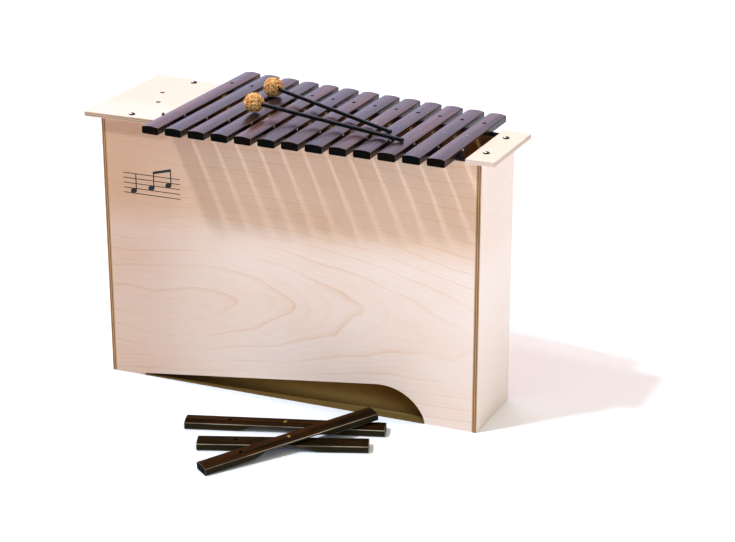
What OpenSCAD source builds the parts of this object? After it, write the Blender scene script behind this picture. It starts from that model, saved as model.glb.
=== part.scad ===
// Bass box xylophone: a plywood resonator box with lift-off rosewood tone bars,
// two mallets lying on the bars and three exchange bars lying in front of the box.
//
// +X runs from the low notes to the high notes, -Y is the player's side, +Z is up.
// The origin is on the floor, in the middle of everything's bounding box.
// The box is symmetrical about its own centre line, which lies behind the origin.

/* [Resonator box] */
// Length over the end panels
box_length = 1000; // [980:2:1040]
// Height of the four panels
box_height = 693.5; // [640:0.5:720]
// Depth at the low end
low_end_depth = 329; // [320:1:340]
// Depth at the high end
high_end_depth = 211; // [205:1:220]
// Thickness of the plywood in the panels and top plates
ply = 12; // [10:0.5:13]
// Thickness of the bottom board and the dividers
thin_ply = 9; // [6:0.5:10]
// Thickness of the base board on the floor
base_ply = 3; // [2:0.5:3.5]
// Where the three dividers stand, from the low end to the high end
divider_at = [-155, 90, 300]; // [-400:5:400]
// Side of the square glue strips and corner cleats
cleat = 15; // [10:1:18]

/* [Floor cut-out] */
// Where the cut-out starts, beside the low end's foot
arch_start = -415; // [-430:1:-380]
// Height of the cut-out in the middle of the box
arch_mid_height = 56; // [54:1:64]
// Rise of its top edge per length
arch_slope = 0.125; // [0.10:0.005:0.13]
// Where the top edge turns down
arch_crest = 254; // [230:1:270]
// Length of the curve from the crest down to the high end's foot
arch_run = 112; // [90:1:130]
// Fullness of that curve, where 0.5 is an ellipse
arch_fullness = 0.62; // [0.5:0.01:0.8]

/* [Top plates] */
// How far the plates stand out past the front and rear panels
plate_overhang = 16.5; // [10:0.5:18]
// How far the plates stand out past the end panels
plate_end_overhang = 36.5; // [20:0.5:40]
// Inner edge of the low end's plate
low_plate_inner = -336; // [-345:1:-334]
// Inner edge of the high end's plate
high_plate_inner = 465.7; // [458:0.1:475]
// Where the screws through the low end's plate stand
low_screw_x = -416; // [-440:1:-400]
// How far off the centre line the screws through the high end's plate stand
high_screw_y = 63; // [50:1:75]
// Head diameter of the screws
screw_head_d = 16; // [12:0.5:18]
// Shank diameter of the screws
screw_d = 5; // [4:0.5:5]
// Length of the shank under the head
screw_length = 45; // [35:1:50]
// The two mallet holes in the low end's plate, from the box's centre
mallet_holes = [[-444, 41], [-410.5, -36]]; // [-460:0.5:60]
// Diameter of the mallet holes
mallet_hole_d = 12.5; // [11.5:0.5:14]

/* [Rails and pins] */
// Height of the soft strips that the bars rest on
rail_height = 7; // [5:0.5:9]
// Diameter of the steel pins
pin_d = 3.2; // [2.5:0.1:3.5]
// Depth that the pins are driven into the panels
pin_depth = 22; // [15:1:30]
// Outside diameter of the sleeves on the pins
sleeve_d = 7; // [6:0.25:7.5]
// Height of the front pins above the rail strips
front_pin_height = 21; // [18:0.5:24]
// Height of the front sleeves above the rail strips
front_sleeve_height = 17; // [12:0.5:18]
// Height of the rear pins above the rail strips
rear_pin_height = 17.5; // [14:0.5:18]
// Height of the rear sleeves above the rail strips
rear_sleeve_height = 14; // [10:0.5:14]

/* [Tone bars] */
// Distance from one bar to the next
bar_pitch = 60; // [59.5:0.1:60.5]
// Middle of the row of bars
bar_row_centre = 61; // [60:0.5:62]
// Width of a bar
bar_width = 45.5; // [44:0.5:47]
// Thickness of a bar at its long edges
bar_edge = 17.7; // [16:0.1:19]
// Rise of a bar's crowned top above its edges
bar_crown = 3; // [1:0.1:4]
// Length of the lowest bar
low_bar_length = 522.5; // [515:0.5:530]
// Length of the highest bar
high_bar_length = 385.5; // [380:0.5:395]
// Diameter of the hole that sits over a rear pin
bar_hole_d = 8.5; // [8:0.1:9]
// Depth of the tuning undercut in the middle of a bar
undercut_depth = 12.5; // [9.6:0.1:13]
// Half the undercut's length, as a share of the bar
undercut_half = 0.23; // [0.225:0.005:0.24]

/* [Mallets] */
// Diameter of a mallet's head
head_d = 52; // [46:1:56]
// Diameter of a mallet's shaft
shaft_d = 10; // [8:0.5:10]
// Distance from the middle of the head to the shaft's end
mallet_length = 434; // [430:1:438]
// How deep the shaft goes into the head, past its middle
shaft_in_head = 14; // [5:1:20]
// Where the front mallet's head lies, from the box's centre
front_head_at = [-123, -58]; // [-130:1:100]
// Heading of the front mallet's shaft
front_heading = -7.7; // [-9:0.1:-6]
// Where the rear mallet's head lies, from the box's centre
rear_head_at = [-149, 92]; // [-150:1:100]
// Heading of the rear mallet's shaft
rear_heading = -21.9; // [-24:0.1:-20]

/* [Exchange bars] */
// How much longer an exchange bar is than its neighbours in the row suggest
exchange_bar_extra = 10; // [0:1:12]
// Middle of the F sharp exchange bar, from the box's centre
f_sharp_at = [69, -284]; // [-300:1:100]
// Heading of the F sharp exchange bar
f_sharp_heading = 20; // [18:0.1:21]
// Middle of the high F sharp exchange bar, from the box's centre
high_f_sharp_at = [110, -375]; // [-400:1:120]
// Heading of the high F sharp exchange bar
high_f_sharp_heading = 23; // [22:0.1:24]
// Middle of the B flat exchange bar, from the box's centre
b_flat_at = [127, -374]; // [-400:1:140]
// Heading of the B flat exchange bar
b_flat_heading = 55.7; // [53:0.1:57]
// Lean of the B flat exchange bar, from its end on the floor
b_flat_lean = 3.3; // [3.25:0.05:3.6]

/* [Hidden] */
$fn = 48;

BAR_NAMES = [
    "tone_bar_c1", "tone_bar_d1", "tone_bar_e1", "tone_bar_f1", "tone_bar_g1",
    "tone_bar_a1", "tone_bar_b1", "tone_bar_c2", "tone_bar_d2", "tone_bar_e2",
    "tone_bar_f2", "tone_bar_g2", "tone_bar_a2"
];

BIRCH = "#ead6bf";
PLATE_BIRCH = "#f1e6cf";
INNER_BIRCH = "#c9a26b";
ROSEWOOD = "#3a2426";
BLACK = "#141414";
STEEL = "#c8c8c8";
WOUND_HEAD = "#c08a3e";
DARK_GREEN = "#1b2723";

// A gap between pieces that are glued or screwed, so that their faces never bite.
fit = 0.05;
// A gap under pieces that only lie on others.
rest_gap = 0.3;
// What a cutter reaches past the faces it cuts.
past = 2;

half_length = box_length / 2;
inner_end = half_length - ply;
taper = (low_end_depth - high_end_depth) / (2 * box_length);
side_ply = ply * sqrt(1 + taper * taper);

// The bottom board keeps above the cut-out's top edge from end to end.
board_clearance = 5;
board_top_low = board_clearance + thin_ply;

last_bar = len(BAR_NAMES) - 1;
bar_seat = box_height + rail_height;
bar_edge_z = bar_seat + bar_edge;
bar_top_z = bar_edge_z + bar_crown;
crown_radius = (pow(bar_width / 2, 2) + pow(bar_crown, 2)) / (2 * bar_crown);
bar_gap = bar_pitch - bar_width;

// The front mallet's head lies on top of a bar, the rear one's between two bars.
front_head_z = bar_top_z + head_d / 2 + rest_gap;
rear_head_z = bar_edge_z + sqrt(pow(head_d / 2, 2) - pow(bar_gap / 2, 2)) + rest_gap;
shaft_end_z = bar_top_z + shaft_d / 2 + rest_gap;

// The exchange bars' notes lie half way between the notes of two neighbours in the row.
f_sharp_length = bar_length_at(3.5) + exchange_bar_extra;
b_flat_length = bar_length_at(5.5) + exchange_bar_extra;
high_f_sharp_length = bar_length_at(10.5) + exchange_bar_extra;

// How far the box's centre lies behind the origin: the bounding box runs from the
// near upper corner of the leaning exchange bar to the rear end of the lowest bar.
set_front_y = b_flat_at[1] - bar_width / 2 * cos(b_flat_heading)
    - (b_flat_length / 2 * cos(b_flat_lean) + bar_edge * sin(b_flat_lean)) * sin(b_flat_heading);
set_rear_y = low_bar_length / 2;
box_y = -(set_front_y + set_rear_y) / 2;

function half_depth(x) = (low_end_depth + high_end_depth) / 4 - taper * x;
function bar_x(i) = bar_row_centre + (i - last_bar / 2) * bar_pitch;
function bar_length_at(i) = low_bar_length + (high_bar_length - low_bar_length) * i / last_bar;
function pin_y(x) = half_depth(x) - side_ply / 2;
function board_top(x) = board_top_low + arch_slope * (x + inner_end);

// ---------------------------------------------------------------- shared shapes

// A slice across the whole box, from x0 to x1, grown past the side panels by out.
module box_slice(x0, x1, out, z0, z1) {
    w0 = half_depth(x0) + out;
    w1 = half_depth(x1) + out;
    translate([0, 0, z0])
        linear_extrude(z1 - z0)
            polygon([[x0, -w0], [x1, -w1], [x1, w1], [x0, w0]]);
}

// A strip along one side panel, from inset near to inset far inside its outer face.
// side is -1 at the front and 1 at the rear.
module side_strip(side, x0, x1, near, far, z0, z1) {
    translate([0, 0, z0])
        linear_extrude(z1 - z0)
            polygon([
                [x0, side * (half_depth(x0) - near)],
                [x1, side * (half_depth(x1) - near)],
                [x1, side * (half_depth(x1) - far)],
                [x0, side * (half_depth(x0) - far)]
            ]);
}

// A slab that follows the bottom board's slope, from x0 to x1, right across the box.
module sloped_slab(x0, x1, below, above) {
    rotate([90, 0, 0])
        linear_extrude(low_end_depth, center = true)
            polygon([
                [x0, board_top(x0) - below], [x1, board_top(x1) - below],
                [x1, board_top(x1) + above], [x0, board_top(x0) + above]
            ]);
}

// The front opening at the floor: a straight sloping edge that ends in a rounded shoulder.
module floor_cutout() {
    arch_height = arch_mid_height + arch_slope * arch_crest - 1.3;
    edge_start = arch_start + 14;
    edge_end = arch_crest - 14;
    steps = 16;
    rotate([90, 0, 0])
        linear_extrude(low_end_depth + 2 * past, center = true)
            polygon(concat(
                [
                    [arch_start, -past],
                    [arch_start, 0],
                    [edge_start, arch_mid_height + arch_slope * edge_start],
                    [edge_end, arch_mid_height + arch_slope * edge_end]
                ],
                [
                    for (i = [0:steps])
                        let (u = sin(90 * i / steps))
                        [arch_crest + arch_run * u, arch_height * pow(1 - u * u, arch_fullness)]
                ],
                [[arch_crest + arch_run, -past]]
            ));
}

// Blind holes down into the panels under every screw, on both ends.
module screw_holes(d) {
    for (spot = screw_spots())
        translate([spot[0], spot[1], box_height + ply - screw_length])
            cylinder(d = d, h = screw_length + past);
}

function screw_spots() = [
    [low_screw_x, -pin_y(low_screw_x)],
    [low_screw_x, pin_y(low_screw_x)],
    [half_length - ply / 2, -high_screw_y],
    [half_length - ply / 2, high_screw_y]
];

// Pins between the bars along the front, one more than there are bars.
function front_pin_x(i) = bar_x(i - 0.5);

module at_front_pins(z) {
    for (i = [0:last_bar + 1])
        translate([front_pin_x(i), -pin_y(front_pin_x(i)), z]) children();
}

// Pins under the holes of the bars along the rear.
module at_rear_pins(z) {
    for (i = [0:last_bar])
        translate([bar_x(i), pin_y(bar_x(i)), z]) children();
}

// Moves a shape from the box's own centre to its place behind the origin.
module in_place() {
    translate([0, box_y, 0]) children();
}

// ---------------------------------------------------------------- resonator box

module side_panel(side) {
    difference() {
        side_strip(side, -inner_end + fit, inner_end - fit, 0, side_ply, 0, box_height);
        screw_holes(screw_d + 2 * fit);
    }
}

// Only the front panel is cut out at the floor.
module front_panel() {
    color(BIRCH) in_place() difference() {
        side_panel(-1);
        floor_cutout();
        at_front_pins(box_height - pin_depth) cylinder(d = pin_d + 2 * fit, h = pin_depth + past);
    }
}

module rear_panel() {
    color(BIRCH) in_place() difference() {
        side_panel(1);
        at_rear_pins(box_height - pin_depth) cylinder(d = pin_d + 2 * fit, h = pin_depth + past);
    }
}

module low_end_panel() {
    color(BIRCH) in_place() box_slice(-half_length, -inner_end, 0, 0, box_height);
}

module high_end_panel() {
    color(BIRCH) in_place() difference() {
        box_slice(inner_end, half_length, 0, 0, box_height);
        screw_holes(screw_d + 2 * fit);
    }
}

// A thin board on the floor inside the four panels. Its tongue reaches through the
// cut-out to the front panel's outer face.
module base_board() {
    color(INNER_BIRCH) in_place() {
        box_slice(-inner_end + fit, inner_end - fit, -side_ply - fit, 0, base_ply);
        side_strip(-1, arch_start + 9, arch_crest + arch_run - 3, 0, side_ply + 1, 0, base_ply);
    }
}

module bottom_board() {
    color(INNER_BIRCH) in_place() intersection() {
        sloped_slab(-inner_end + fit, inner_end - fit, thin_ply, 0);
        box_slice(-inner_end, inner_end, -side_ply - fit, 0, box_height);
    }
}

// Square strips that glue the board to the side panels, one in each chamber.
module bottom_glue_strips() {
    walls = concat([-inner_end - thin_ply / 2], divider_at, [inner_end + thin_ply / 2]);
    color(INNER_BIRCH) in_place()
        for (i = [0:len(walls) - 2], side = [-1, 1]) {
            x0 = walls[i] + thin_ply / 2 + fit;
            x1 = walls[i + 1] - thin_ply / 2 - fit;
            intersection() {
                sloped_slab(x0, x1, -fit, cleat);
                side_strip(side, x0, x1, side_ply + fit, side_ply + cleat, 0, box_height);
            }
        }
}

// Upright square cleats in the four corners, above the glue strips.
module corner_cleats() {
    color(INNER_BIRCH) in_place()
        for (side = [-1, 1], x0 = [-inner_end + fit, inner_end - cleat]) {
            x1 = x0 + cleat - fit;
            side_strip(side, x0, x1, side_ply + fit, side_ply + cleat,
                board_top(x1) + cleat + fit, box_height);
        }
}

// An upright board across the box, standing on the bottom board, clear of the bars.
module divider(i) {
    headroom = 28;
    x0 = divider_at[i] - thin_ply / 2;
    x1 = divider_at[i] + thin_ply / 2;
    color(INNER_BIRCH) in_place() difference() {
        box_slice(x0, x1, -side_ply - fit, 0, box_height - headroom);
        sloped_slab(x0 - past, x1 + past, box_height, fit);
    }
}

module low_divider() { divider(0); }

module middle_divider() { divider(1); }

module high_divider() { divider(2); }

// ---------------------------------------------------------------- top plates

module top_plate(x0, x1) {
    difference() {
        box_slice(x0, x1, plate_overhang, box_height, box_height + ply);
        screw_holes(screw_d + 2 * fit);
        for (hole = mallet_holes)
            translate([hole[0], hole[1], box_height - past])
                cylinder(d = mallet_hole_d, h = ply + 2 * past);
    }
}

module low_top_plate() {
    color(PLATE_BIRCH) in_place() top_plate(-half_length - plate_end_overhang, low_plate_inner);
}

module high_top_plate() {
    color(PLATE_BIRCH) in_place() top_plate(high_plate_inner, half_length + plate_end_overhang);
}

// A screw with a domed head and a hexagon socket, its shank pointing down.
module domed_screw() {
    head_height = 4.2;
    rim = 1;
    dome_rise = head_height - rim;
    dome_radius = (pow(screw_head_d / 2, 2) + pow(dome_rise, 2)) / (2 * dome_rise);
    socket_d = 5.8;
    difference() {
        union() {
            intersection() {
                cylinder(d = screw_head_d, h = head_height);
                translate([0, 0, head_height - dome_radius]) sphere(r = dome_radius, $fn = 96);
            }
            translate([0, 0, -screw_length]) cylinder(d = screw_d, h = screw_length + 1);
        }
        translate([0, 0, head_height - 2.6]) cylinder(d = socket_d, h = head_height, $fn = 6);
    }
}

module top_plate_screws() {
    color(BLACK) in_place()
        for (spot = screw_spots())
            translate([spot[0], spot[1], box_height + ply + fit]) domed_screw();
}

// ---------------------------------------------------------------- rails and pins

module rail_strip(side) {
    side_strip(side, low_plate_inner + fit, high_plate_inner - fit, 0, side_ply,
        box_height, bar_seat);
}

module front_rail_strip() {
    color(BLACK) in_place() difference() {
        rail_strip(-1);
        at_front_pins(box_height - past) cylinder(d = pin_d + 2 * fit, h = rail_height + 2 * past);
    }
}

module rear_rail_strip() {
    color(BLACK) in_place() difference() {
        rail_strip(1);
        at_rear_pins(box_height - past) cylinder(d = pin_d + 2 * fit, h = rail_height + 2 * past);
    }
}

// A steel pin with a rounded tip, driven down into a panel.
module pin(height) {
    radius = pin_d / 2;
    rotate_extrude()
        intersection() {
            translate([0, -pin_depth - rail_height])
                square([radius, pin_depth + rail_height + height]);
            union() {
                translate([0, height - radius]) circle(r = radius);
                translate([0, -pin_depth - rail_height])
                    square([radius, pin_depth + rail_height + height - radius]);
            }
        }
}

module sleeve(height) {
    difference() {
        cylinder(d = sleeve_d, h = height);
        translate([0, 0, -past]) cylinder(d = pin_d + 2 * fit, h = height + 2 * past);
    }
}

module front_pins() {
    color(STEEL) in_place() at_front_pins(bar_seat) pin(front_pin_height);
}

module front_pin_sleeves() {
    color(BLACK) in_place() at_front_pins(bar_seat) sleeve(front_sleeve_height);
}

module rear_pins() {
    color(STEEL) in_place() at_rear_pins(bar_seat) pin(rear_pin_height);
}

module rear_pin_sleeves() {
    color(BLACK) in_place() at_rear_pins(bar_seat) sleeve(rear_sleeve_height);
}

// ---------------------------------------------------------------- tone bars

// A bar along Y with its underside on z = 0. hole_y is how far its hole is from its middle.
module bar(length, hole_y) {
    height = bar_edge + bar_crown;
    color(ROSEWOOD) difference() {
        intersection() {
            translate([-bar_width / 2, -length / 2, 0]) cube([bar_width, length, height]);
            translate([0, 0, height - crown_radius])
                rotate([90, 0, 0])
                    cylinder(r = crown_radius, h = length + 2 * past, center = true, $fn = 180);
        }
        undercut(length);
        translate([0, hole_y, -past]) cylinder(d = bar_hole_d, h = height + 2 * past);
    }
}

// The scooped hollow under a bar's middle that tunes it: flat, with a soft ramp at each end.
module undercut(length) {
    half = undercut_half * length;
    ramp = 42;
    steps = 8;
    climb = [
        for (i = [0:steps])
            [ramp * i / steps - half, undercut_depth * (1 - cos(180 * i / steps)) / 2]
    ];
    descent = [for (i = [0:steps]) [-climb[steps - i][0], climb[steps - i][1]]];
    rotate([90, 0, 90])
        linear_extrude(bar_width + 2 * past, center = true)
            polygon(concat([[-half, -past]], climb, descent, [[half, -past]]));
}

module tone_bar(i) {
    in_place() translate([bar_x(i), 0, bar_seat]) bar(bar_length_at(i), pin_y(bar_x(i)));
}

// ---------------------------------------------------------------- exchange bars

// An exchange bar along its heading, its holed end at the low side. It swings about the
// lower edge of that end, so that a lean keeps the end on the floor.
module exchange_bar(length, at, heading, lean) {
    hole_y = length / 2 - bar_hole_inset(length);
    in_place() translate([at[0], at[1], 0])
        rotate([0, 0, heading])
            translate([-length / 2 * cos(lean), 0, 0])
                rotate([0, -lean, 0])
                    translate([length / 2, 0, 0])
                        rotate([0, 0, 90]) bar(length, hole_y);
}

// Distance from a bar's end to its hole, which lies on the bar's still point.
function bar_hole_inset(length) = 0.224 * length;

module exchange_bar_f_sharp() {
    exchange_bar(f_sharp_length, f_sharp_at, f_sharp_heading, 0);
}

module exchange_bar_b_flat() {
    exchange_bar(b_flat_length, b_flat_at, b_flat_heading, b_flat_lean);
}

module exchange_bar_high_f_sharp() {
    exchange_bar(high_f_sharp_length, high_f_sharp_at, high_f_sharp_heading, 0);
}

// ---------------------------------------------------------------- mallets

// Places a mallet so that its +Z runs from the middle of its head to the shaft's end.
module along_mallet(at, head_z, heading) {
    dip = asin((head_z - shaft_end_z) / (mallet_length - shaft_d / 2));
    in_place() translate([at[0], at[1], head_z])
        rotate([0, 90 + dip, heading]) children();
}

// A thread-wound ball with a blind hole for its shaft.
module mallet_head() {
    color(WOUND_HEAD) difference() {
        sphere(d = head_d, $fn = 64);
        translate([0, 0, -shaft_in_head - fit])
            cylinder(d = shaft_d + 2 * fit, h = head_d);
    }
}

module mallet_shaft() {
    radius = shaft_d / 2;
    color(DARK_GREEN) translate([0, 0, -shaft_in_head]) {
        cylinder(r = radius, h = shaft_in_head + mallet_length - radius);
        translate([0, 0, shaft_in_head + mallet_length - radius]) sphere(r = radius, $fn = 48);
    }
}

module front_mallet() {
    along_mallet(front_head_at, front_head_z, front_heading) children();
}

module rear_mallet() {
    along_mallet(rear_head_at, rear_head_z, rear_heading) children();
}

// ---------------------------------------------------------------- what is drawn

front_panel();
rear_panel();
low_end_panel();
high_end_panel();
base_board();
bottom_board();
bottom_glue_strips();
corner_cleats();
low_divider();
middle_divider();
high_divider();
low_top_plate();
high_top_plate();
top_plate_screws();
front_rail_strip();
rear_rail_strip();
front_pins();
front_pin_sleeves();
rear_pins();
rear_pin_sleeves();
tone_bar(0);  // tone_bar_c1
tone_bar(1);  // tone_bar_d1
tone_bar(2);  // tone_bar_e1
tone_bar(3);  // tone_bar_f1
tone_bar(4);  // tone_bar_g1
tone_bar(5);  // tone_bar_a1
tone_bar(6);  // tone_bar_b1
tone_bar(7);  // tone_bar_c2
tone_bar(8);  // tone_bar_d2
tone_bar(9);  // tone_bar_e2
tone_bar(10);  // tone_bar_f2
tone_bar(11);  // tone_bar_g2
tone_bar(12);  // tone_bar_a2
exchange_bar_f_sharp();
exchange_bar_b_flat();
exchange_bar_high_f_sharp();
front_mallet() mallet_head();  // front_mallet_head
front_mallet() mallet_shaft();  // front_mallet_shaft
rear_mallet() mallet_head();  // rear_mallet_head
rear_mallet() mallet_shaft();  // rear_mallet_shaft
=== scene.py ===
"""Looks of a bass box xylophone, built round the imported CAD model. All lengths are in metres."""

import math
import random

import bmesh
import bpy
from mathutils import Matrix, Vector


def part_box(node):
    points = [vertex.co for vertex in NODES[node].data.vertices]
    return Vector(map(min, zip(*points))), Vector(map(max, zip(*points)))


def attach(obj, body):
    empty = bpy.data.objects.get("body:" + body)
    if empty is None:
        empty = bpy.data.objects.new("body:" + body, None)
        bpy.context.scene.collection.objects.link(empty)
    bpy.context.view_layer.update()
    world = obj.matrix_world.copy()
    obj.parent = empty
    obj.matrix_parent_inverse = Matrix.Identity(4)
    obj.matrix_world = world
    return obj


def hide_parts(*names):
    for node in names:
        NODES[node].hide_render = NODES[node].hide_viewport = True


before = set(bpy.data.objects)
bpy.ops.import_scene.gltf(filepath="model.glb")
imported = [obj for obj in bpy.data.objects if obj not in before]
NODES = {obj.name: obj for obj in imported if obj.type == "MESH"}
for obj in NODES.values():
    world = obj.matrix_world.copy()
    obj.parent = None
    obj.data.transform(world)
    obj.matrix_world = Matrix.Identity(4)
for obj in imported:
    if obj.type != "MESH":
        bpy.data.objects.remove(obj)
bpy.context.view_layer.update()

SCENE = bpy.context.scene

MM = 0.001

# ---------------------------------------------------------------- sizes not in the CAD nodes' boxes

CROWN = 3.0 * MM
UNDERCUT_DEPTH = 12.5 * MM
UNDERCUT_RAMP = 42 * MM
HOLE_RADIUS = 4.25 * MM
# Shares of a bar's length: half of its hollow, and the way from its end to its hole.
UNDERCUT_HALF = 0.23
HOLE_INSET = 0.224

TONE_BARS = ["c1", "d1", "e1", "f1", "g1", "a1", "b1", "c2", "d2", "e2", "f2", "g2", "a2"]
EXCHANGE_BARS = ["f_sharp", "b_flat", "high_f_sharp"]
MALLETS = ["front_mallet", "rear_mallet"]


# ---------------------------------------------------------------- node graphs


class Graph:
    """A material's node tree. A value is a socket or a plain number, vector or colour."""

    def __init__(self, name, ior=1.5):
        self.material = bpy.data.materials.new(name)
        self.material.use_nodes = True
        self.tree = self.material.node_tree
        self.tree.nodes.clear()
        self.shader = self.tree.nodes.new("ShaderNodeBsdfPrincipled")
        output = self.tree.nodes.new("ShaderNodeOutputMaterial")
        self.tree.links.new(self.shader.outputs[0], output.inputs[0])
        self.shader.inputs["IOR"].default_value = ior

    def put(self, socket, value):
        if isinstance(value, bpy.types.NodeSocket):
            self.tree.links.new(value, socket)
        elif socket.type == "RGBA":
            socket.default_value = (*value, 1)
        else:
            socket.default_value = value

    def add(self, kind, inputs, output=0, **settings):
        """Adds a node and returns one of its outputs. The inputs are {name or number: value}."""
        node = self.tree.nodes.new(kind)
        for key, value in settings.items():
            setattr(node, key, value)
        for key, value in inputs.items():
            self.put(node.inputs[key], value)
        return node.outputs[output]

    def set(self, **values):
        """Sets the shader's own sockets, where an underscore in a name stands for a space."""
        for key, value in values.items():
            self.put(self.shader.inputs[key.replace("_", " ")], value)

    def place(self):
        return self.add("ShaderNodeTexCoord", {}, "Object")

    def facing(self):
        return self.add("ShaderNodeTexCoord", {}, "Normal")

    def attribute(self, name):
        return self.add("ShaderNodeAttribute", {}, "Fac", attribute_name=name)

    def math(self, operation, a, b=0.0):
        return self.add("ShaderNodeMath", {0: a, 1: b}, operation=operation)

    def plus(self, a, b):
        return self.math("ADD", a, b)

    def minus(self, a, b):
        return self.math("SUBTRACT", a, b)

    def times(self, a, b):
        return self.math("MULTIPLY", a, b)

    def vector(self, operation, a, b, output=0):
        return self.add("ShaderNodeVectorMath", {0: a, 1: b}, output, operation=operation)

    def dot(self, a, b):
        return self.vector("DOT_PRODUCT", a, b, "Value")

    def combine(self, x, y, z):
        return self.add("ShaderNodeCombineXYZ", {0: x, 1: y, 2: z})

    def noise(self, at, frequency, detail=2.0, roughness=0.5, distortion=0.0):
        """Noise with so many waves in a metre, given once or for each axis."""
        if isinstance(frequency, (int, float)):
            frequency = (frequency,) * 3
        inputs = {"Vector": self.vector("MULTIPLY", at, frequency), "Scale": 1.0, "Detail": detail}
        inputs.update({"Roughness": roughness, "Distortion": distortion})
        return self.add("ShaderNodeTexNoise", inputs)

    def remap(self, value, low, high, to_low=0.0, to_high=1.0):
        """A smooth step from low to high, written as to_low to to_high."""
        inputs = {0: value, 1: low, 2: high, 3: to_low, 4: to_high}
        return self.add("ShaderNodeMapRange", inputs, interpolation_type="SMOOTHSTEP")

    def mix(self, share, a, b, blend="MIX"):
        inputs = {0: share, 6: a, 7: b}
        return self.add("ShaderNodeMix", inputs, 2, data_type="RGBA", blend_type=blend)

    def bump(self, height, distance, strength):
        inputs = {"Height": height, "Distance": distance, "Strength": strength}
        return self.add("ShaderNodeBump", inputs)


# ---------------------------------------------------------------- materials


PLIES = 5
RINGS_PER_METRE = 26.0
HEART_LEFT = 50 * MM
HEART_STRETCH = 0.17
HEART_RISE = 0.3


def plywood(name, node, normal, grain, face, inside, figure, pale_edge=0.0):
    """Plywood for one flat CAD node: normal points out of the sheet and grain runs along it."""
    normal = Vector(normal).normalized()
    grain = Vector(grain).normalized()
    across = normal.cross(grain)
    reach = [normal.dot(v.co) for v in NODES[node].data.vertices]
    outer, thickness = max(reach), max(reach) - min(reach)

    g = Graph(name)
    place, facing = g.place(), g.facing()
    depth = g.minus(outer, g.dot(place, normal))
    along, over = g.dot(place, grain), g.dot(place, across)
    seed = sum(ord(letter) for letter in name) * 0.37
    flat = g.combine(along, over, seed)

    # The veneer's growth rings are contour lines round a heart near its left edge, each with one
    # crisp side.
    slow = g.noise(flat, (0.8, 1.7, 1), 1.0, 0.4)
    quick = g.noise(flat, (3, 7, 1), 2.0, 0.5)
    start = min(grain.dot(v.co) for v in NODES[node].data.vertices)
    rows = [across.dot(v.co) for v in NODES[node].data.vertices]
    heart_row = (1 - HEART_RISE) * min(rows) + HEART_RISE * max(rows)
    heart = g.combine(
        g.times(g.minus(along, start - HEART_LEFT), HEART_STRETCH), g.minus(over, heart_row), 0.02)
    level = g.times(g.math("SQRT", g.dot(heart, heart)), RINGS_PER_METRE)
    level = g.plus(level, g.times(slow, 13.0))
    level = g.plus(level, g.times(quick, 1.6))
    ring_line = g.math("POWER", g.math("FRACT", level), 12.0)
    fine_line = g.math("POWER", g.math("FRACT", g.times(level, 3.0)), 5.0)
    fading = g.noise(flat, (3, 8, 1), 2.0)
    line = g.plus(g.times(ring_line, 0.8), g.times(fine_line, 0.32))
    line = g.times(line, g.remap(fading, 0.35, 0.6, 0.3, 1.0))
    fibre = g.noise(flat, (22, 800, 1), 3.0, 0.6)
    fleck = g.remap(g.noise(flat, (150, 1300, 1), 2.0), 0.64, 0.74)
    cloud = g.noise(flat, (2.6, 5.3, 1), 3.0, 0.55)

    def darker(colour, tint):
        return g.mix(1.0, colour, tint, "MULTIPLY")

    base = g.mix(g.remap(depth, 0.45 * thickness, 0.55 * thickness), face, inside)
    # Painted shade, as strong as the figure: darker towards the start of the grain, which on the front
    # panel is its dimmer left end.
    end_shade = g.remap(g.minus(along, start), 0.05, 0.42, figure, 0.0)
    base = g.mix(end_shade, base, darker(base, (0.82, 0.74, 0.68)))
    # A warmer, darker band across the sheet's top, as strong as the figure: partly the veneer's own
    # colour, partly painted shade where the bars' shadows fall on the front panel.
    top_band_tone_and_shade = g.remap(g.minus(max(rows), over), 0.20, 0.30, figure, 0.0)
    base = g.mix(top_band_tone_and_shade, base, darker(base, (0.92, 0.81, 0.69)))
    base = g.mix(g.times(line, 0.55 * figure), base, darker(base, (0.88, 0.70, 0.50)))
    base = g.mix(g.remap(cloud, 0.35, 0.7, 0.0, 0.5 * figure), base, darker(base, (0.97, 0.88, 0.80)))
    base = g.mix(g.remap(fibre, 0.35, 0.7, 0.0, 0.3), base, darker(base, (0.93, 0.86, 0.78)))
    base = g.mix(g.times(fleck, 0.3), base, darker(base, (0.72, 0.55, 0.4)))

    # Cut edges: veneers in turn along and across the grain, with dark glue lines.
    layer = g.math("DIVIDE", depth, thickness / PLIES)
    wobble = g.noise(place, 20, 2.0)
    layer = g.plus(layer, g.times(g.minus(wobble, 0.5), 0.25))
    crossed = g.remap(g.math("FRACT", g.times(layer, 0.5)), 0.47, 0.53)
    seam = g.math("ABSOLUTE", g.minus(g.math("FRACT", layer), 0.5))
    glue = g.remap(seam, 0.40, 0.48)
    pith = g.noise(place, 420, 3.0, 0.7)
    streak = g.noise(place, 9, 3.0)
    light_layer = g.mix(streak, (0.64, 0.42, 0.24), (0.50, 0.30, 0.15))
    dark_layer = g.mix(pith, (0.32, 0.16, 0.065), (0.18, 0.08, 0.03))
    edge = g.mix(crossed, light_layer, dark_layer)
    edge = g.mix(g.times(glue, 0.55), edge, (0.12, 0.05, 0.02))
    edge = g.mix(pale_edge, edge, (0.93, 0.80, 0.72))

    flatness = g.math("ABSOLUTE", g.dot(facing, normal))
    on_edge = g.remap(flatness, 0.86, 0.70)
    height = g.plus(g.times(fibre, 0.6), g.times(line, -0.5))
    edge_height = g.plus(g.times(crossed, -0.8), g.times(pith, 0.8))
    height = g.plus(height, g.times(on_edge, edge_height))
    rough = g.plus(g.times(fibre, 0.18), g.times(on_edge, 0.25))
    g.set(
        Base_Color=g.mix(on_edge, base, edge),
        Roughness=g.plus(rough, 0.36),
        Normal=g.bump(height, 0.12 * MM, 0.5),
        Coat_Weight=0.1,
        Coat_Roughness=0.3,
    )
    return g.material


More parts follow.
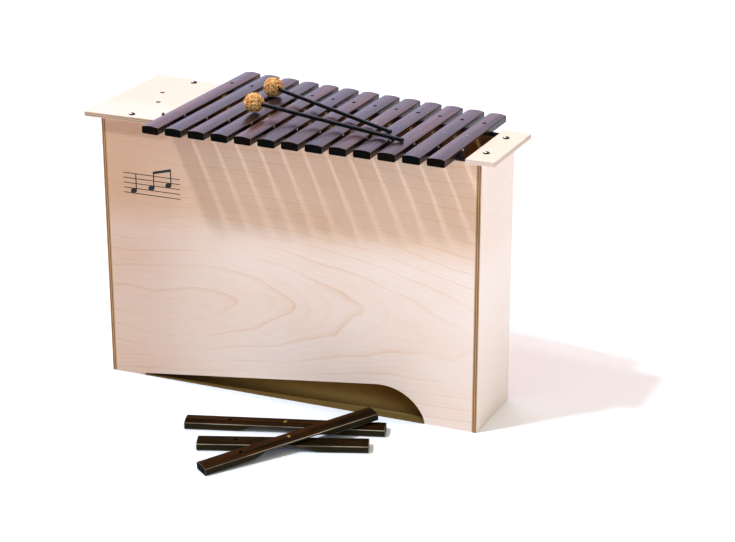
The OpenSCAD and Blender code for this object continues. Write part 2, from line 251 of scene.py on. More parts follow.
def hardboard(name, outward, front, deep):
    """Brown hardboard on the floor under the cut-out, painted darker at its front edge and much paler
    further in: painted shade and painted light.
    """
    edge_at = max(outward.dot(v.co) for v in NODES["base_board"].data.vertices)
    g = Graph(name)
    place = g.place()
    depth = g.minus(edge_at, g.dot(place, outward))
    blotch = g.noise(place, 14, 3.0, 0.6)
    fibre = g.noise(place, 600, 3.0, 0.6)
    # Painted light and shade: the colour runs from the dark front colour at the edge to the pale deep
    # colour inside, evening out the light under the box.
    colour = g.mix(g.remap(depth, 12 * MM, 85 * MM), front, deep)
    darker = g.mix(1.0, colour, (0.80, 0.74, 0.66), "MULTIPLY")
    g.set(
        Base_Color=g.mix(
            g.times(blotch, g.remap(fibre, 0.3, 0.7, 0.4, 1.0)), colour, darker),
        Roughness=g.remap(fibre, 0.2, 0.8, 0.62, 0.85),
        Specular_IOR_Level=0.2,
        Normal=g.bump(fibre, 0.1 * MM, 0.5),
    )
    return g.material


def softwood(name, tone):
    """Sawn softwood strips, grained along whichever way they run."""
    g = Graph(name)
    place = g.place()
    ring = g.noise(place, (12, 260, 260), 4.0, 0.6, 0.4)
    saw = g.noise(place, (700, 90, 90), 2.0)
    late = tuple(0.55 * c for c in tone)
    g.set(
        Base_Color=g.mix(g.remap(ring, 0.35, 0.68), tone, late),
        Roughness=g.remap(saw, 0.2, 0.8, 0.6, 0.85),
        Normal=g.bump(g.plus(ring, saw), 0.2 * MM, 0.5),
    )
    return g.material


def own_place(g, tone):
    """A place in the wood that differs from bar to bar."""
    shift = g.combine(g.times(tone, 3.0), 0.0, g.times(tone, 5.0))
    return g.vector("ADD", g.place(), shift)


def rosewood(name, dark, red, violet, side_shading_colour, edge_wear_and_highlight_colour, roughness, specular):
    """Polished rosewood in a bar's own frame, Y along the bar. Its tone sets the bar's figure."""
    g = Graph(name, ior=1.52)
    facing, tone, edge = g.facing(), g.attribute("tone"), g.attribute("edge")
    own = own_place(g, tone)
    figure = g.noise(own, (75, 2.6, 75), 3.0, 0.55, 0.5)
    streak = g.noise(own, (520, 9, 520), 4.0, 0.62)
    pore = g.remap(g.noise(own, (1500, 70, 1500), 2.0), 0.62, 0.72)
    patch = g.noise(own, (16, 7, 16), 3.0, 0.6)

    colour = g.mix(g.remap(figure, 0.35, 0.65), dark, red)
    violet_share = g.remap(tone, 0.25, 0.8, 0.0, 0.9)
    colour = g.mix(violet_share, colour, g.mix(g.remap(streak, 0.3, 0.7), violet, dark))
    colour = g.mix(g.remap(streak, 0.42, 0.7, 0.0, 0.55), colour, dark)
    colour = g.mix(g.remap(patch, 0.45, 0.8, 0.0, 0.6), colour, red)
    colour = g.mix(g.times(pore, 0.7), colour, (0.004, 0.002, 0.002))
    # Painted light and shade: the side faces, found by which way they face, take their own colour,
    # near black on the tone bars and a pale olive on the loose bars.
    side = g.remap(g.math("ABSOLUTE", g.dot(facing, (0, 0, 1))), 0.75, 0.40)
    colour = g.mix(g.times(side, 0.85), colour, side_shading_colour)
    # The rounded edges take the pale edge colour: wear, and a painted highlight along the edges and
    # ends.
    worn_and_highlit = g.times(edge, g.remap(patch, 0.35, 0.65, 0.35, 1.0))
    colour = g.mix(worn_and_highlit, colour, edge_wear_and_highlight_colour)

    rough = g.remap(streak, 0.25, 0.75, roughness - 0.05, roughness + 0.09)
    rough = g.plus(rough, g.times(patch, 0.08))
    height = g.minus(g.times(streak, 0.35), g.times(pore, 0.6))
    g.set(
        Base_Color=colour,
        Roughness=rough,
        Specular_IOR_Level=specular,
        Normal=g.bump(height, 0.06 * MM, 0.5),
    )
    return g.material


def end_grain(name, dark, light, brown):
    """A bar's sawn end, stained nearly black, with faint growth rings and saw marks."""
    g = Graph(name)
    tone = g.attribute("tone")
    own = own_place(g, tone)
    ring = g.noise(own, (60, 60, 420), 3.0, 0.6)
    pore = g.noise(own, 1800, 2.0, 0.6)
    colour = g.mix(g.remap(ring, 0.35, 0.7), dark, g.mix(g.remap(tone, 0.2, 0.6), brown, light))
    colour = g.mix(g.remap(pore, 0.55, 0.7, 0.0, 0.7), colour, dark)
    g.set(
        Base_Color=colour,
        Roughness=g.remap(ring, 0.3, 0.7, 0.55, 0.75),
        Specular_IOR_Level=0.06,
        Normal=g.bump(g.plus(ring, pore), 0.15 * MM, 0.6),
    )
    return g.material


def wound_cord(name, light, deep):
    """Coarse ochre cord: twisted fibres, darker in patches, with cream patches of painted highlight.
    """
    g = Graph(name)
    place, tone = g.place(), g.attribute("tone")
    fuzz = g.noise(place, 900, 4.0, 0.7)
    curl = g.noise(place, 210, 2.0, 0.5, 0.8)
    colour = g.mix(g.remap(curl, 0.38, 0.52), deep, light)
    # Painted highlight: cream patches where the curl noise peaks, more on some turns than on others.
    cream = tuple(min(1, 1.15 * c + 0.16) for c in light)
    colour = g.mix(g.times(g.remap(curl, 0.47, 0.57), tone), colour, cream)
    colour = g.mix(g.remap(fuzz, 0.4, 0.75, 0.0, 0.4), colour, deep)
    g.set(
        Base_Color=colour,
        Roughness=g.remap(fuzz, 0.2, 0.8, 0.7, 0.95),
        Sheen_Weight=0.3,
        Sheen_Roughness=0.5,
        Specular_IOR_Level=0.25,
        Normal=g.bump(g.plus(fuzz, curl), 0.5 * MM, 0.7),
    )
    return g.material


def lacquered_rod(name, colour):
    """A glossy dark rod with faint drawing lines and handling wear."""
    g = Graph(name)
    place = g.place()
    wear_and_highlight = g.noise(place, 55, 4.0, 0.6)
    line = g.noise(place, (15, 700, 700), 3.0)
    worn_and_highlit = tuple(min(1, 2.4 * c + 0.004) for c in colour)
    g.set(
        Base_Color=g.mix(g.remap(wear_and_highlight, 0.45, 0.75, 0.0, 0.7), colour, worn_and_highlit),
        Roughness=g.remap(wear_and_highlight, 0.25, 0.75, 0.14, 0.34),
        Normal=g.bump(line, 0.05 * MM, 0.4),
        Specular_IOR_Level=0.2,
        Coat_Weight=0.4,
        Coat_Roughness=0.04,
    )
    return g.material


def metal(name, colour, low, high):
    """Turned metal with fine scratches, from low to high roughness."""
    g = Graph(name)
    place = g.place()
    scratch = g.noise(place, (900, 900, 2400), 3.0, 0.65)
    smear = g.noise(place, 180, 2.0)
    darker = tuple(0.6 * c for c in colour)
    g.set(
        Base_Color=g.mix(g.remap(smear, 0.4, 0.7, 0.0, 0.6), colour, darker),
        Roughness=g.remap(g.plus(g.times(scratch, 0.5), g.times(smear, 0.5)), 0.3, 0.7, low, high),
        Metallic=1.0,
        Normal=g.bump(scratch, 0.02 * MM, 0.5),
    )
    return g.material


def blackened_screw(name):
    """A domed screw head, lacquered black, with a painted highlight on its crown."""
    g = Graph(name)
    place, facing = g.place(), g.facing()
    scratch = g.noise(place, (900, 900, 2400), 3.0, 0.65)
    # Painted highlight: where the dome faces up and a little to the front left, towards the key lamp,
    # its colour turns nearly white.
    worn_and_highlit = g.remap(g.dot(facing, Vector((-0.10, -0.18, 1)).normalized()), 0.90, 0.96)
    worn_and_highlit = g.times(worn_and_highlit, g.remap(scratch, 0.2, 0.4, 0.8, 1.0))
    g.set(
        Base_Color=g.mix(worn_and_highlit, (0.004, 0.004, 0.005), (0.90, 0.89, 0.87)),
        Roughness=g.remap(scratch, 0.3, 0.7, 0.22, 0.34),
        Specular_IOR_Level=0.3,
        Normal=g.bump(scratch, 0.02 * MM, 0.5),
    )
    return g.material


def rubber(name, colour, grain, depth, roughness):
    """Matt rubber or foam, with grain pits in a metre."""
    g = Graph(name)
    place = g.place()
    pit = g.noise(place, grain, 3.0, 0.6)
    dust = g.noise(place, 60, 4.0, 0.6)
    dusty = tuple(c * 1.8 + 0.006 for c in colour)
    g.set(
        Base_Color=g.mix(g.remap(dust, 0.45, 0.8, 0.0, 0.7), colour, dusty),
        Roughness=g.remap(pit, 0.2, 0.8, roughness - 0.1, roughness + 0.1),
        Specular_IOR_Level=0.35,
        Normal=g.bump(pit, depth, 0.6),
    )
    return g.material


def ink(name, colour):
    """Printed or stamped ink, slightly broken where the wood's pores take none."""
    g = Graph(name)
    place = g.place()
    gap = g.noise(place, (500, 500, 1500), 3.0, 0.6)
    paler = tuple(c * 1.5 + 0.01 for c in colour)
    g.set(
        Base_Color=g.mix(g.remap(gap, 0.45, 0.7), colour, paler),
        Roughness=g.remap(gap, 0.3, 0.7, 0.4, 0.65),
        Normal=g.bump(gap, 0.02 * MM, 0.4),
    )
    return g.material


def paper_floor(name):
    """Pale matt paper with a fine tooth."""
    g = Graph(name)
    place = g.place()
    tooth = g.noise(place, 300, 3.0)
    g.set(
        Base_Color=g.mix(tooth, (0.93, 0.92, 0.94), (0.96, 0.95, 0.97)),
        Roughness=0.9,
        Specular_IOR_Level=0.0,
        Normal=g.bump(tooth, 0.05 * MM, 0.3),
    )
    return g.material


# ---------------------------------------------------------------- meshes


def mesh_piece(name, points, faces, material, attributes=None):
    """A smooth mesh object whose faces point outwards."""
    mesh = bpy.data.meshes.new(name)
    mesh.from_pydata([tuple(p) for p in points], [], faces)
    work = bmesh.new()
    work.from_mesh(mesh)
    bmesh.ops.recalc_face_normals(work, faces=work.faces)
    work.to_mesh(mesh)
    work.free()
    mesh.shade_smooth()
    for key, values in (attributes or {}).items():
        layer = mesh.attributes.new(key, "FLOAT", "POINT")
        layer.data.foreach_set("value", values)
    mesh.materials.append(material)
    piece = bpy.data.objects.new(name, mesh)
    SCENE.collection.objects.link(piece)
    return piece


def even_shading(piece):
    """Keeps wide faces flat where they meet narrow rounded ones."""
    piece.modifiers.new("even_shading", "WEIGHTED_NORMAL").keep_sharp = False


def soften(node, width):
    """Breaks the sharp edges of a CAD node."""
    piece = NODES[node]
    weld = piece.modifiers.new("weld", "WELD")
    weld.merge_threshold = 0.005 * MM
    flat = piece.modifiers.new("flat", "DECIMATE")
    flat.decimate_type = "DISSOLVE"
    flat.angle_limit = math.radians(0.3)
    bevel = piece.modifiers.new("bevel", "BEVEL")
    bevel.width = width
    bevel.segments = 2
    bevel.limit_method = "ANGLE"
    bevel.angle_limit = math.radians(40)
    bevel.use_clamp_overlap = True
    even_shading(piece)


def dress(node, material):
    data = NODES[node].data
    data.materials.clear()
    data.materials.append(material)


# ---------------------------------------------------------------- bars


def undercut(y, length):
    """Height of a bar's hollowed underside at a distance y from its middle."""
    inside = UNDERCUT_HALF * length - abs(y)
    if inside <= 0:
        return 0.0
    if inside >= UNDERCUT_RAMP:
        return UNDERCUT_DEPTH
    return UNDERCUT_DEPTH * (1 - math.cos(math.pi * inside / UNDERCUT_RAMP)) / 2


# A square patch of the bar's top and underside is left out round its hole and filled with rings.
PATCH_HALF = 9 * MM
PATCH_CELLS = 8
TOP_SHARES = (0.35, 0.7, 0.9)
STATION_PITCH = 7 * MM
HOLE_SINK = 0.7 * MM
TOP_ROUND = 2.3 * MM
BOTTOM_ROUND = 3.4 * MM
HOLLOW_ROUND = 2.4 * MM
END_ROUND = 1.1 * MM
ROUND_STEPS = 4


def patch_steps(centre):
    return [centre + PATCH_HALF * (2 * i / PATCH_CELLS - 1) for i in range(PATCH_CELLS + 1)]


def crown_radius_of(width):
    return ((width / 2) ** 2 + CROWN ** 2) / (2 * CROWN)


def bar_ring(y, inset, length, width, height):
    """One section of a bar as (x, z, edge), once round from its lower left corner.

    Returns the section, and where its lower and its upper patch round the hole start.
    """
    half = width / 2 - inset
    crown_radius = crown_radius_of(width)
    crown_centre = height - inset - crown_radius
    corner_x = half - TOP_ROUND
    corner_z = crown_centre + math.sqrt((crown_radius - TOP_ROUND) ** 2 - corner_x ** 2)
    tangent = math.atan2(corner_z - crown_centre, corner_x)
    hollow = undercut(y, length)
    low = inset + hollow
    bottom_round = BOTTOM_ROUND + (HOLLOW_ROUND - BOTTOM_ROUND) * hollow / UNDERCUT_DEPTH
    foot = half - bottom_round

    def top(x):
        return crown_centre + math.sqrt(crown_radius ** 2 - x * x)

    # Each point's edge value is its share of the bar's pale edge colour: wear, and a painted highlight
    # along the rounded edges.
    right = []
    for i in range(ROUND_STEPS + 1):
        a = math.radians(-90 + 90 * i / ROUND_STEPS)
        wear_and_highlight = 0.5 * math.sin(math.pi * i / ROUND_STEPS)
        right.append((foot + bottom_round * math.cos(a), low + bottom_round * (1 + math.sin(a)), wear_and_highlight))
    right.append((half, (low + bottom_round + corner_z) / 2, 0.0))
    for i in range(ROUND_STEPS + 1):
        a = tangent * i / ROUND_STEPS
        wear_and_highlight = math.sin(math.pi * i / ROUND_STEPS)
        right.append((corner_x + TOP_ROUND * math.cos(a), corner_z + TOP_ROUND * math.sin(a), wear_and_highlight))
    left = [(-x, z, e) for x, z, e in reversed(right)]
    patch = patch_steps(0.0)
    gap = right[-1][0] - PATCH_HALF
    outer = [PATCH_HALF + gap * share for share in TOP_SHARES]
    top_xs = list(reversed(outer)) + list(reversed(patch)) + [-x for x in outer]
    low_outer = [(PATCH_HALF + foot) / 2]
    low_xs = [-x for x in low_outer] + patch + low_outer
    ring = [(x, low, 0.0) for x in low_xs] + right + [(x, top(x), 0.0) for x in top_xs] + left
    low_start = len(low_outer)
    top_start = len(low_xs) + len(right) + len(outer)
    return ring, low_start, top_start


def bar_piece(name, length, width, height, hole_y, tone, wood, end_wood):
    """A bar along Y with its underside on z = 0."""
    hollow_end = length / 2 - END_ROUND
    holes = patch_steps(hole_y)
    count = round(2 * hollow_end / STATION_PITCH)
    plain = [hollow_end * (2 * i / count - 1) for i in range(count + 1)]
    clear = PATCH_HALF + 0.4 * STATION_PITCH
    ys = sorted([y for y in plain if abs(y - hole_y) > clear] + holes)
    ends = [math.radians(90 * i / ROUND_STEPS) for i in range(1, ROUND_STEPS + 1)]
    stations = [
        (-hollow_end - END_ROUND * math.sin(a), END_ROUND * (1 - math.cos(a))) for a in reversed(ends)]
    stations += [(y, 0.0) for y in ys]
    stations += [(hollow_end + END_ROUND * math.sin(a), END_ROUND * (1 - math.cos(a))) for a in ends]

    points, edges = [], []
    for y, inset in stations:
        ring, low_start, top_start = bar_ring(y, inset, length, width, height)
        near_end = inset > 0
        points += [(x, y, z) for x, z, e in ring]
        # Points on the rounded ends take the full pale edge colour: wear, and a painted highlight
        # along the ends.
        edges += [1.0 if near_end else e for x, z, e in ring]
    n = len(ring)
    first = len(ends) + ys.index(holes[0])
    faces = []
    for k in range(len(stations) - 1):
        for j in range(n):
            in_patch = any(start <= j < start + PATCH_CELLS for start in (low_start, top_start))
            if in_patch and first <= k < first + PATCH_CELLS:
                continue
            a, b = k * n + j, k * n + (j + 1) % n
            faces.append((a, b, b + n, a + n))
    faces.append(tuple(range(n)))
    faces.append(tuple(reversed([(len(stations) - 1) * n + j for j in range(n)])))

    def square(start, mirrored):
        """The patch's border, once round, from the corner at low y."""
        m = PATCH_CELLS
        walk = [(i, 0) for i in range(m)] + [(m, i) for i in range(m)]
        walk += [(m - i, m) for i in range(m)] + [(0, m - i) for i in range(m)]
        return [(first + b) * n + start + (m - a if mirrored else a) for a, b in walk]

    def circle(radius, height_at):
        m = 4 * PATCH_CELLS
        made = []
        for i in range(m):
            a = math.radians(225 + 360 * i / m)
            x, y = radius * math.cos(a), radius * math.sin(a)
            points.append((x, hole_y + y, height_at(x)))
            edges.append(0.0)
            made.append(len(points) - 1)
        return made

    def bridge(one, other):
        for i in range(len(one)):
            j = (i + 1) % len(one)
            faces.append((one[i], one[j], other[j], other[i]))

    crown_radius = crown_radius_of(width)

    def top(x):
        return height - crown_radius + math.sqrt(crown_radius ** 2 - x * x)

    loops = [
        square(top_start, True),
        circle(1.55 * HOLE_RADIUS, top),
        circle(HOLE_RADIUS + HOLE_SINK, top),
        circle(HOLE_RADIUS + 0.35 * HOLE_SINK, lambda x: top(x) - 0.35 * HOLE_SINK),
        circle(HOLE_RADIUS, lambda x: top(x) - 1.3 * HOLE_SINK),
        circle(HOLE_RADIUS, lambda x: HOLE_SINK),
        circle(HOLE_RADIUS + HOLE_SINK, lambda x: 0.0),
        circle(1.55 * HOLE_RADIUS, lambda x: 0.0),
        square(low_start, False),
    ]
    for one, other in zip(loops, loops[1:]):
        bridge(one, other)
    attributes = {"tone": [tone] * len(points), "edge": edges}
    piece = mesh_piece(name, points, faces, wood, attributes)
    piece.data.materials.append(end_wood)
    # End faces take the end grain material; so do the hole's walls and countersink, whose near-black
    # colour is painted shade in the hole.
    for face in piece.data.polygons:
        from_hole = math.hypot(face.center.x, face.center.y - hole_y)
        in_hole = from_hole < HOLE_RADIUS + 0.7 * HOLE_SINK
        if abs(face.normal.y) > 0.75 or in_hole:
            face.material_index = 1
    even_shading(piece)
    return piece


def pin_y_near(x):
    """Where the rear pin under a bar stands, from the pins' own vertices."""
    near = [v.co.y for v in NODES["rear_pins"].data.vertices if abs(v.co.x - x) < 5 * MM]
    return (min(near) + max(near)) / 2


def make_tone_bars(wood, end_wood):
    made = {}
    draw = random.Random(11)
    for i, note in enumerate(TONE_BARS):
        node = "tone_bar_" + note
        low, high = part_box(node)
        size, centre = high - low, (low + high) / 2
        tone = draw.random() * 0.5 + (0.5 if i % 2 else 0.0)
        hole_y = pin_y_near(centre.x) - centre.y
        bar = bar_piece("bar_" + note, size.y, size.x, size.z, hole_y, tone, wood, end_wood)
        bar.matrix_world = Matrix.Translation((centre.x, centre.y, low.z))
        made[note] = bar
        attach(bar, "bar_" + note)
        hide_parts(node)
    return made


def exchange_pose(node, width, height):
    """Length of an exchange bar and the matrix that lays its own frame where the CAD node lies."""
    low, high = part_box(node)
    size, centre = high - low, (low + high) / 2
    edge = height - CROWN
    heading, lean, length = math.radians(30), 0.0, size.x
    for _ in range(60):
        dx, dy = size.x - width * math.sin(heading), size.y - width * math.cos(heading)
        heading = math.atan2(dy, dx)
        length = (math.hypot(dx, dy) - edge * math.sin(lean)) / math.cos(lean)
        lean = math.asin(max(0.0, (size.z - height * math.cos(lean)) / length))
    ahead = Vector((math.cos(heading), math.sin(heading), 0))
    at = Vector((centre.x, centre.y, 0)) + ahead * edge * math.sin(lean) / 2
    matrix = (
        Matrix.Translation(at)
        @ Matrix.Rotation(heading, 4, "Z")
        @ Matrix.Translation((-length / 2 * math.cos(lean), 0, 0))
        @ Matrix.Rotation(-lean, 4, "Y")
        @ Matrix.Translation((length / 2, 0, 0))
        @ Matrix.Rotation(math.radians(90), 4, "Z")
    )
    return length, matrix


def make_exchange_bars(wood, end_wood, width, height):
    made = {}
    for i, key in enumerate(EXCHANGE_BARS):
        node = "exchange_bar_" + key
        length, matrix = exchange_pose(node, width, height)
        hole_y = length / 2 - HOLE_INSET * length
        tone = 0.1 + 0.3 * i
        bar = bar_piece("loose_bar_" + key, length, width, height, hole_y, tone, wood, end_wood)
        bar.matrix_world = matrix
        made[key] = bar
        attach(bar, "exchange_" + key)
        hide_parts(node)
    return made


# ---------------------------------------------------------------- mallets


def ring_tube(points_in, faces_in, path, radius, sides):
    """Adds a round tube along a closed path to a point list and a face list."""
    count = len(path)
    start = len(points_in)
    normal = None
    for i, p in enumerate(path):
        along = (path[(i + 1) % count] - path[i - 1]).normalized()
        if normal is None:
            normal = along.orthogonal().normalized()
        normal = (normal - along * normal.dot(along)).normalized()
        side = along.cross(normal)
        for j in range(sides):
            a = 2 * math.pi * j / sides
            points_in.append(p + radius * (math.cos(a) * normal + math.sin(a) * side))
    for i in range(count):
        k = (i + 1) % count
        shift = 0
        if k == 0:
            first = points_in[start]
            last = [points_in[start + i * sides + j] for j in range(sides)]
            shift = min(range(sides), key=lambda j: (last[j] - first).length)
        for j in range(sides):
            a, b = (j + shift) % sides, (j + 1 + shift) % sides
            c, d = j, (j + 1) % sides
            faces_in.append((
                start + i * sides + a, start + i * sides + b,
                start + k * sides + d, start + k * sides + c))


CORD_RADIUS = 1.2 * MM
CORD_WAVE = 1.0 * MM
CORD_LAYERS = 1.6 * MM
CORE_DEPTH = 3.6 * MM
CORE_LUMPS = 0.8 * MM
CORD_STEPS = 96
CORD_SIDES = 6
CORD_TURNS = 36


def make_wound_head(name, node, body, material, core_material, seed):
    """A ball of coarse cord: a core with many wavy turns wound round it every way."""
    low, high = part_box(node)
    centre, radius = (low + high) / 2, (high - low).z / 2
    draw = random.Random(seed)
    turns = CORD_TURNS
    points, faces, tones = [], [], []
    for t in range(turns):
        axis = Vector((draw.gauss(0, 1), draw.gauss(0, 1), draw.gauss(0, 1))).normalized()
        u = axis.orthogonal().normalized()
        v = axis.cross(u)
        lift = draw.uniform(-0.55, 0.55)
        layer = radius - CORD_RADIUS - CORD_WAVE - draw.uniform(0, CORD_LAYERS)
        phase, waves = draw.uniform(0, 6.28), draw.randint(9, 15)
        phase_2, waves_2 = draw.uniform(0, 6.28), draw.randint(13, 21)
        path = []
        for i in range(CORD_STEPS):
            a = 2 * math.pi * i / CORD_STEPS
            tilt = lift + 1.7 * CORD_WAVE / radius * math.sin(waves * a + phase)
            r = layer + CORD_WAVE * math.sin(waves_2 * a + phase_2)
            flat = math.cos(tilt) * (math.cos(a) * u + math.sin(a) * v)
            path.append(centre + r * (flat + math.sin(tilt) * axis))
        before = len(points)
        ring_tube(points, faces, path, CORD_RADIUS, CORD_SIDES)
        tones += [draw.random()] * (len(points) - before)
    piece = mesh_piece(name, points, faces, material, {"tone": tones})
    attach(piece, body)
    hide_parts(node)

    core = bpy.data.meshes.new(name + "_core")
    work = bmesh.new()
    bmesh.ops.create_icosphere(work, subdivisions=4, radius=radius - CORE_DEPTH)
    for vertex in work.verts:
        d = vertex.co.normalized()
        lump = math.sin(31 * d.x + 17 * d.y) * math.sin(23 * d.y - 19 * d.z)
        lump *= math.sin(29 * d.z + 13 * d.x)
        vertex.co += d * lump * CORE_LUMPS
        vertex.co += centre
    work.to_mesh(core)
    work.free()
    core.shade_smooth()
    core.materials.append(core_material)
    ball = bpy.data.objects.new(name + "_core", core)
    SCENE.collection.objects.link(ball)
    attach(ball, body)


# ---------------------------------------------------------------- printed details


INK_DEPTH = 0.05 * MM
PRINT_THICKNESS = 0.3 * MM
STAVE_INSET = 44 * MM
STAVE_RISE = 500 * MM
STAVE_WIDTH = 158 * MM
STAVE_LINES = 5
OVAL_STEPS = 28


def flat_piece(name, outlines, place, body, material):
    """Thin solids from outlines in a plane, laid on a surface by a matrix whose Z points out of it."""
    points, faces = [], []
    for outline in outlines:
        start, n = len(points), len(outline)
        for z in (-PRINT_THICKNESS / 2, PRINT_THICKNESS / 2):
            points += [place @ Vector((x, y, z)) for x, y in outline]
        faces.append(tuple(start + i for i in reversed(range(n))))
        faces.append(tuple(start + n + i for i in range(n)))
        for i in range(n):
            j = (i + 1) % n
            faces.append((start + i, start + j, start + n + j, start + n + i))
    piece = mesh_piece(name, points, faces, material)
    piece.data.shade_flat()
    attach(piece, body)


def rectangle(x0, x1, y0, y1):
    return [(x0, y0), (x1, y0), (x1, y1), (x0, y1)]


def oval(cx, cy, long, short, turn):
    made = []
    for i in range(OVAL_STEPS):
        a = 2 * math.pi * i / OVAL_STEPS
        x, y = long * math.cos(a), short * math.sin(a)
        made.append((
            cx + x * math.cos(turn) - y * math.sin(turn),
            cy + x * math.sin(turn) + y * math.cos(turn)))
    return made


def front_face():
    """The front panel's outer face: its lower left corner, the way to its right and the way out."""
    points = [v.co for v in NODES["front_panel"].data.vertices]
    x0, x1 = min(p.x for p in points), max(p.x for p in points)
    y0 = min(p.y for p in points if p.x < x0 + MM)
    y1 = min(p.y for p in points if p.x > x1 - MM)
    along = Vector((x1 - x0, y1 - y0, 0)).normalized()
    return Vector((x0, y0, 0)), along, Vector((along.y, -along.x, 0))


def make_emblem(material):
    """A plain printed stave with three notes, at the front panel's upper left."""
    corner, along, outward = front_face()
    origin = corner + along * STAVE_INSET + Vector((0, 0, STAVE_RISE)) + outward * INK_DEPTH
    place = Matrix.Translation(origin) @ Matrix(
        ((along.x, 0, outward.x), (along.y, 0, outward.y), (0, 1, 0))).to_4x4()
    gap, line = 13 * MM, 1.7 * MM
    rows = [i * gap for i in range(STAVE_LINES)]
    outlines = [rectangle(0, STAVE_WIDTH, y - line / 2, y + line / 2) for y in rows]
    head_long, head_short, stem, stem_width = 9.0 * MM, 6.2 * MM, 44 * MM, 2.6 * MM
    tilt = math.radians(20)
    heads = [(28 * MM, 0.5 * gap), (78 * MM, 1.5 * gap), (126 * MM, 2.5 * gap)]
    stem_tops = []
    for x, y in heads:
        outlines.append(oval(x, y, head_long, head_short, tilt))
        right = x + head_long * 0.93
        outlines.append(rectangle(right - stem_width, right, y + 1.5 * MM, y + stem))
        stem_tops.append((right, y + stem))
    (xa, ya), (xb, yb) = stem_tops[1], stem_tops[2]
    beam = 6.5 * MM
    outlines.append([(xa - stem_width, ya - beam), (xb, yb - beam), (xb, yb), (xa - stem_width, ya)])
    flat_piece("printed_stave", outlines, place, "box", material)


def letter_outline_piece(name, text, size, place, body, material):
    """A short stamped note name as a thin mesh, centred on place."""
    curve = bpy.data.curves.new(name, "FONT")
    curve.body = text
    curve.size = size
    curve.align_x, curve.align_y = "CENTER", "CENTER"
    curve.extrude = 0.12 * MM
    curve.resolution_u = 3
    source = bpy.data.objects.new(name + "_source", curve)
    SCENE.collection.objects.link(source)
    bpy.context.view_layer.update()
    mesh = bpy.data.meshes.new_from_object(source)
    bpy.data.objects.remove(source)
    bpy.data.curves.remove(curve)
    mesh.materials.clear()
    mesh.materials.append(material)
    piece = bpy.data.objects.new(name, mesh)
    SCENE.collection.objects.link(piece)
    piece.matrix_world = place
    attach(piece, body)


def stamp_notes(tone_bars, exchange_bars, height, pale, gold):
    """Note names, near the middle of each bar, read from the player's side."""
    for note, bar in tone_bars.items():
        place = bar.matrix_world @ Matrix.Translation((0, -4 * MM, height - INK_DEPTH))
        letter_outline_piece(
            "stamp_" + note, note[0].upper(), 9 * MM, place, "bar_" + note, pale)
    names = {"f_sharp": "F#", "high_f_sharp": "F#", "b_flat": "Bb"}
    turn = Matrix.Rotation(math.radians(180), 4, "Z")
    for key, bar in exchange_bars.items():
        place = bar.matrix_world @ Matrix.Translation((0, 0, height - INK_DEPTH)) @ turn
        letter_outline_piece(
            "stamp_loose_" + key, names[key], 11 * MM, place, "exchange_" + key, gold)


# ---------------------------------------------------------------- stage, lights and camera

SKY_BASE = (0.05, 0.05, 0.05)
SKY_TOP = (0.94, 0.80, 0.54)
SKY_BACK = (1.30, 1.22, 1.60)
SKY_LOBES = ((SKY_TOP, (0, 0, 1), 0.3, 0.95), (SKY_BACK, (-0.60, 0.72, 0.35), 0.45, 0.95))
KEY_COLOUR = (0.664, 0.808, 1.0)
KEY_ENERGY = 2.5
KEY_SPREAD = math.radians(4.6)
KEY_FROM = (-1.66, -1.65, 3.9)
FILL_COLOUR = (0.652, 0.812, 1.0)
FILL_ENERGY = 34.5
FILL_SIZE = 1.6
FILL_FROM = (2.6, -1.5, 1.3)
FILL_TO = (0.5, 0.1, 0.3)

FLOOR_HALF = 40
CAMERA_PLACE = (2.0889, -3.9462, 2.1498)
CAMERA_AZIMUTH = math.radians(25.19)
CAMERA_ELEVATION = math.radians(19.7)
CAMERA_LENS = 95.89
CAMERA_SHIFT_Y = -0.1007


def make_floor():
    mesh = bpy.data.meshes.new("floor")
    signs = [(-1, -1), (1, -1), (1, 1), (-1, 1)]
    corners = [(x * FLOOR_HALF, y * FLOOR_HALF, 0) for x, y in signs]
    mesh.from_pydata(corners, [], [(0, 1, 2, 3)])
    mesh.materials.append(paper_floor("floor_paper"))
    floor = bpy.data.objects.new("floor", mesh)
    SCENE.collection.objects.link(floor)


def aim(obj, at, target):
    obj.location = at
    obj.rotation_mode = "QUATERNION"
    obj.rotation_quaternion = (Vector(target) - Vector(at)).to_track_quat("-Z", "Y")


def make_sky():
    """A dim studio with warm light overhead and a lilac backdrop behind the object."""
    world = bpy.data.worlds.new("studio")
    world.use_nodes = True
    SCENE.world = world
    tree = world.node_tree
    tree.nodes.clear()
    out = tree.nodes.new("ShaderNodeOutputWorld")
    back = tree.nodes.new("ShaderNodeBackground")
    coords = tree.nodes.new("ShaderNodeTexCoord")
    colour = tree.nodes.new("ShaderNodeRGB").outputs[0]
    colour.default_value = (*SKY_BASE, 1)
    for lobe, direction, low, high in SKY_LOBES:
        dot = tree.nodes.new("ShaderNodeVectorMath")
        dot.operation = "DOT_PRODUCT"
        dot.inputs[1].default_value = Vector(direction).normalized()
        ramp = tree.nodes.new("ShaderNodeMapRange")
        ramp.interpolation_type = "SMOOTHSTEP"
        ramp.inputs[1].default_value = low
        ramp.inputs[2].default_value = high
        add = tree.nodes.new("ShaderNodeMix")
        add.data_type = "RGBA"
        add.blend_type = "ADD"
        add.inputs[7].default_value = (*lobe, 1)
        tree.links.new(coords.outputs["Generated"], dot.inputs[0])
        tree.links.new(dot.outputs["Value"], ramp.inputs[0])
        tree.links.new(ramp.outputs[0], add.inputs[0])
        tree.links.new(colour, add.inputs[6])
        colour = add.outputs[2]
    tree.links.new(colour, back.inputs[0])
    tree.links.new(back.outputs[0], out.inputs[0])


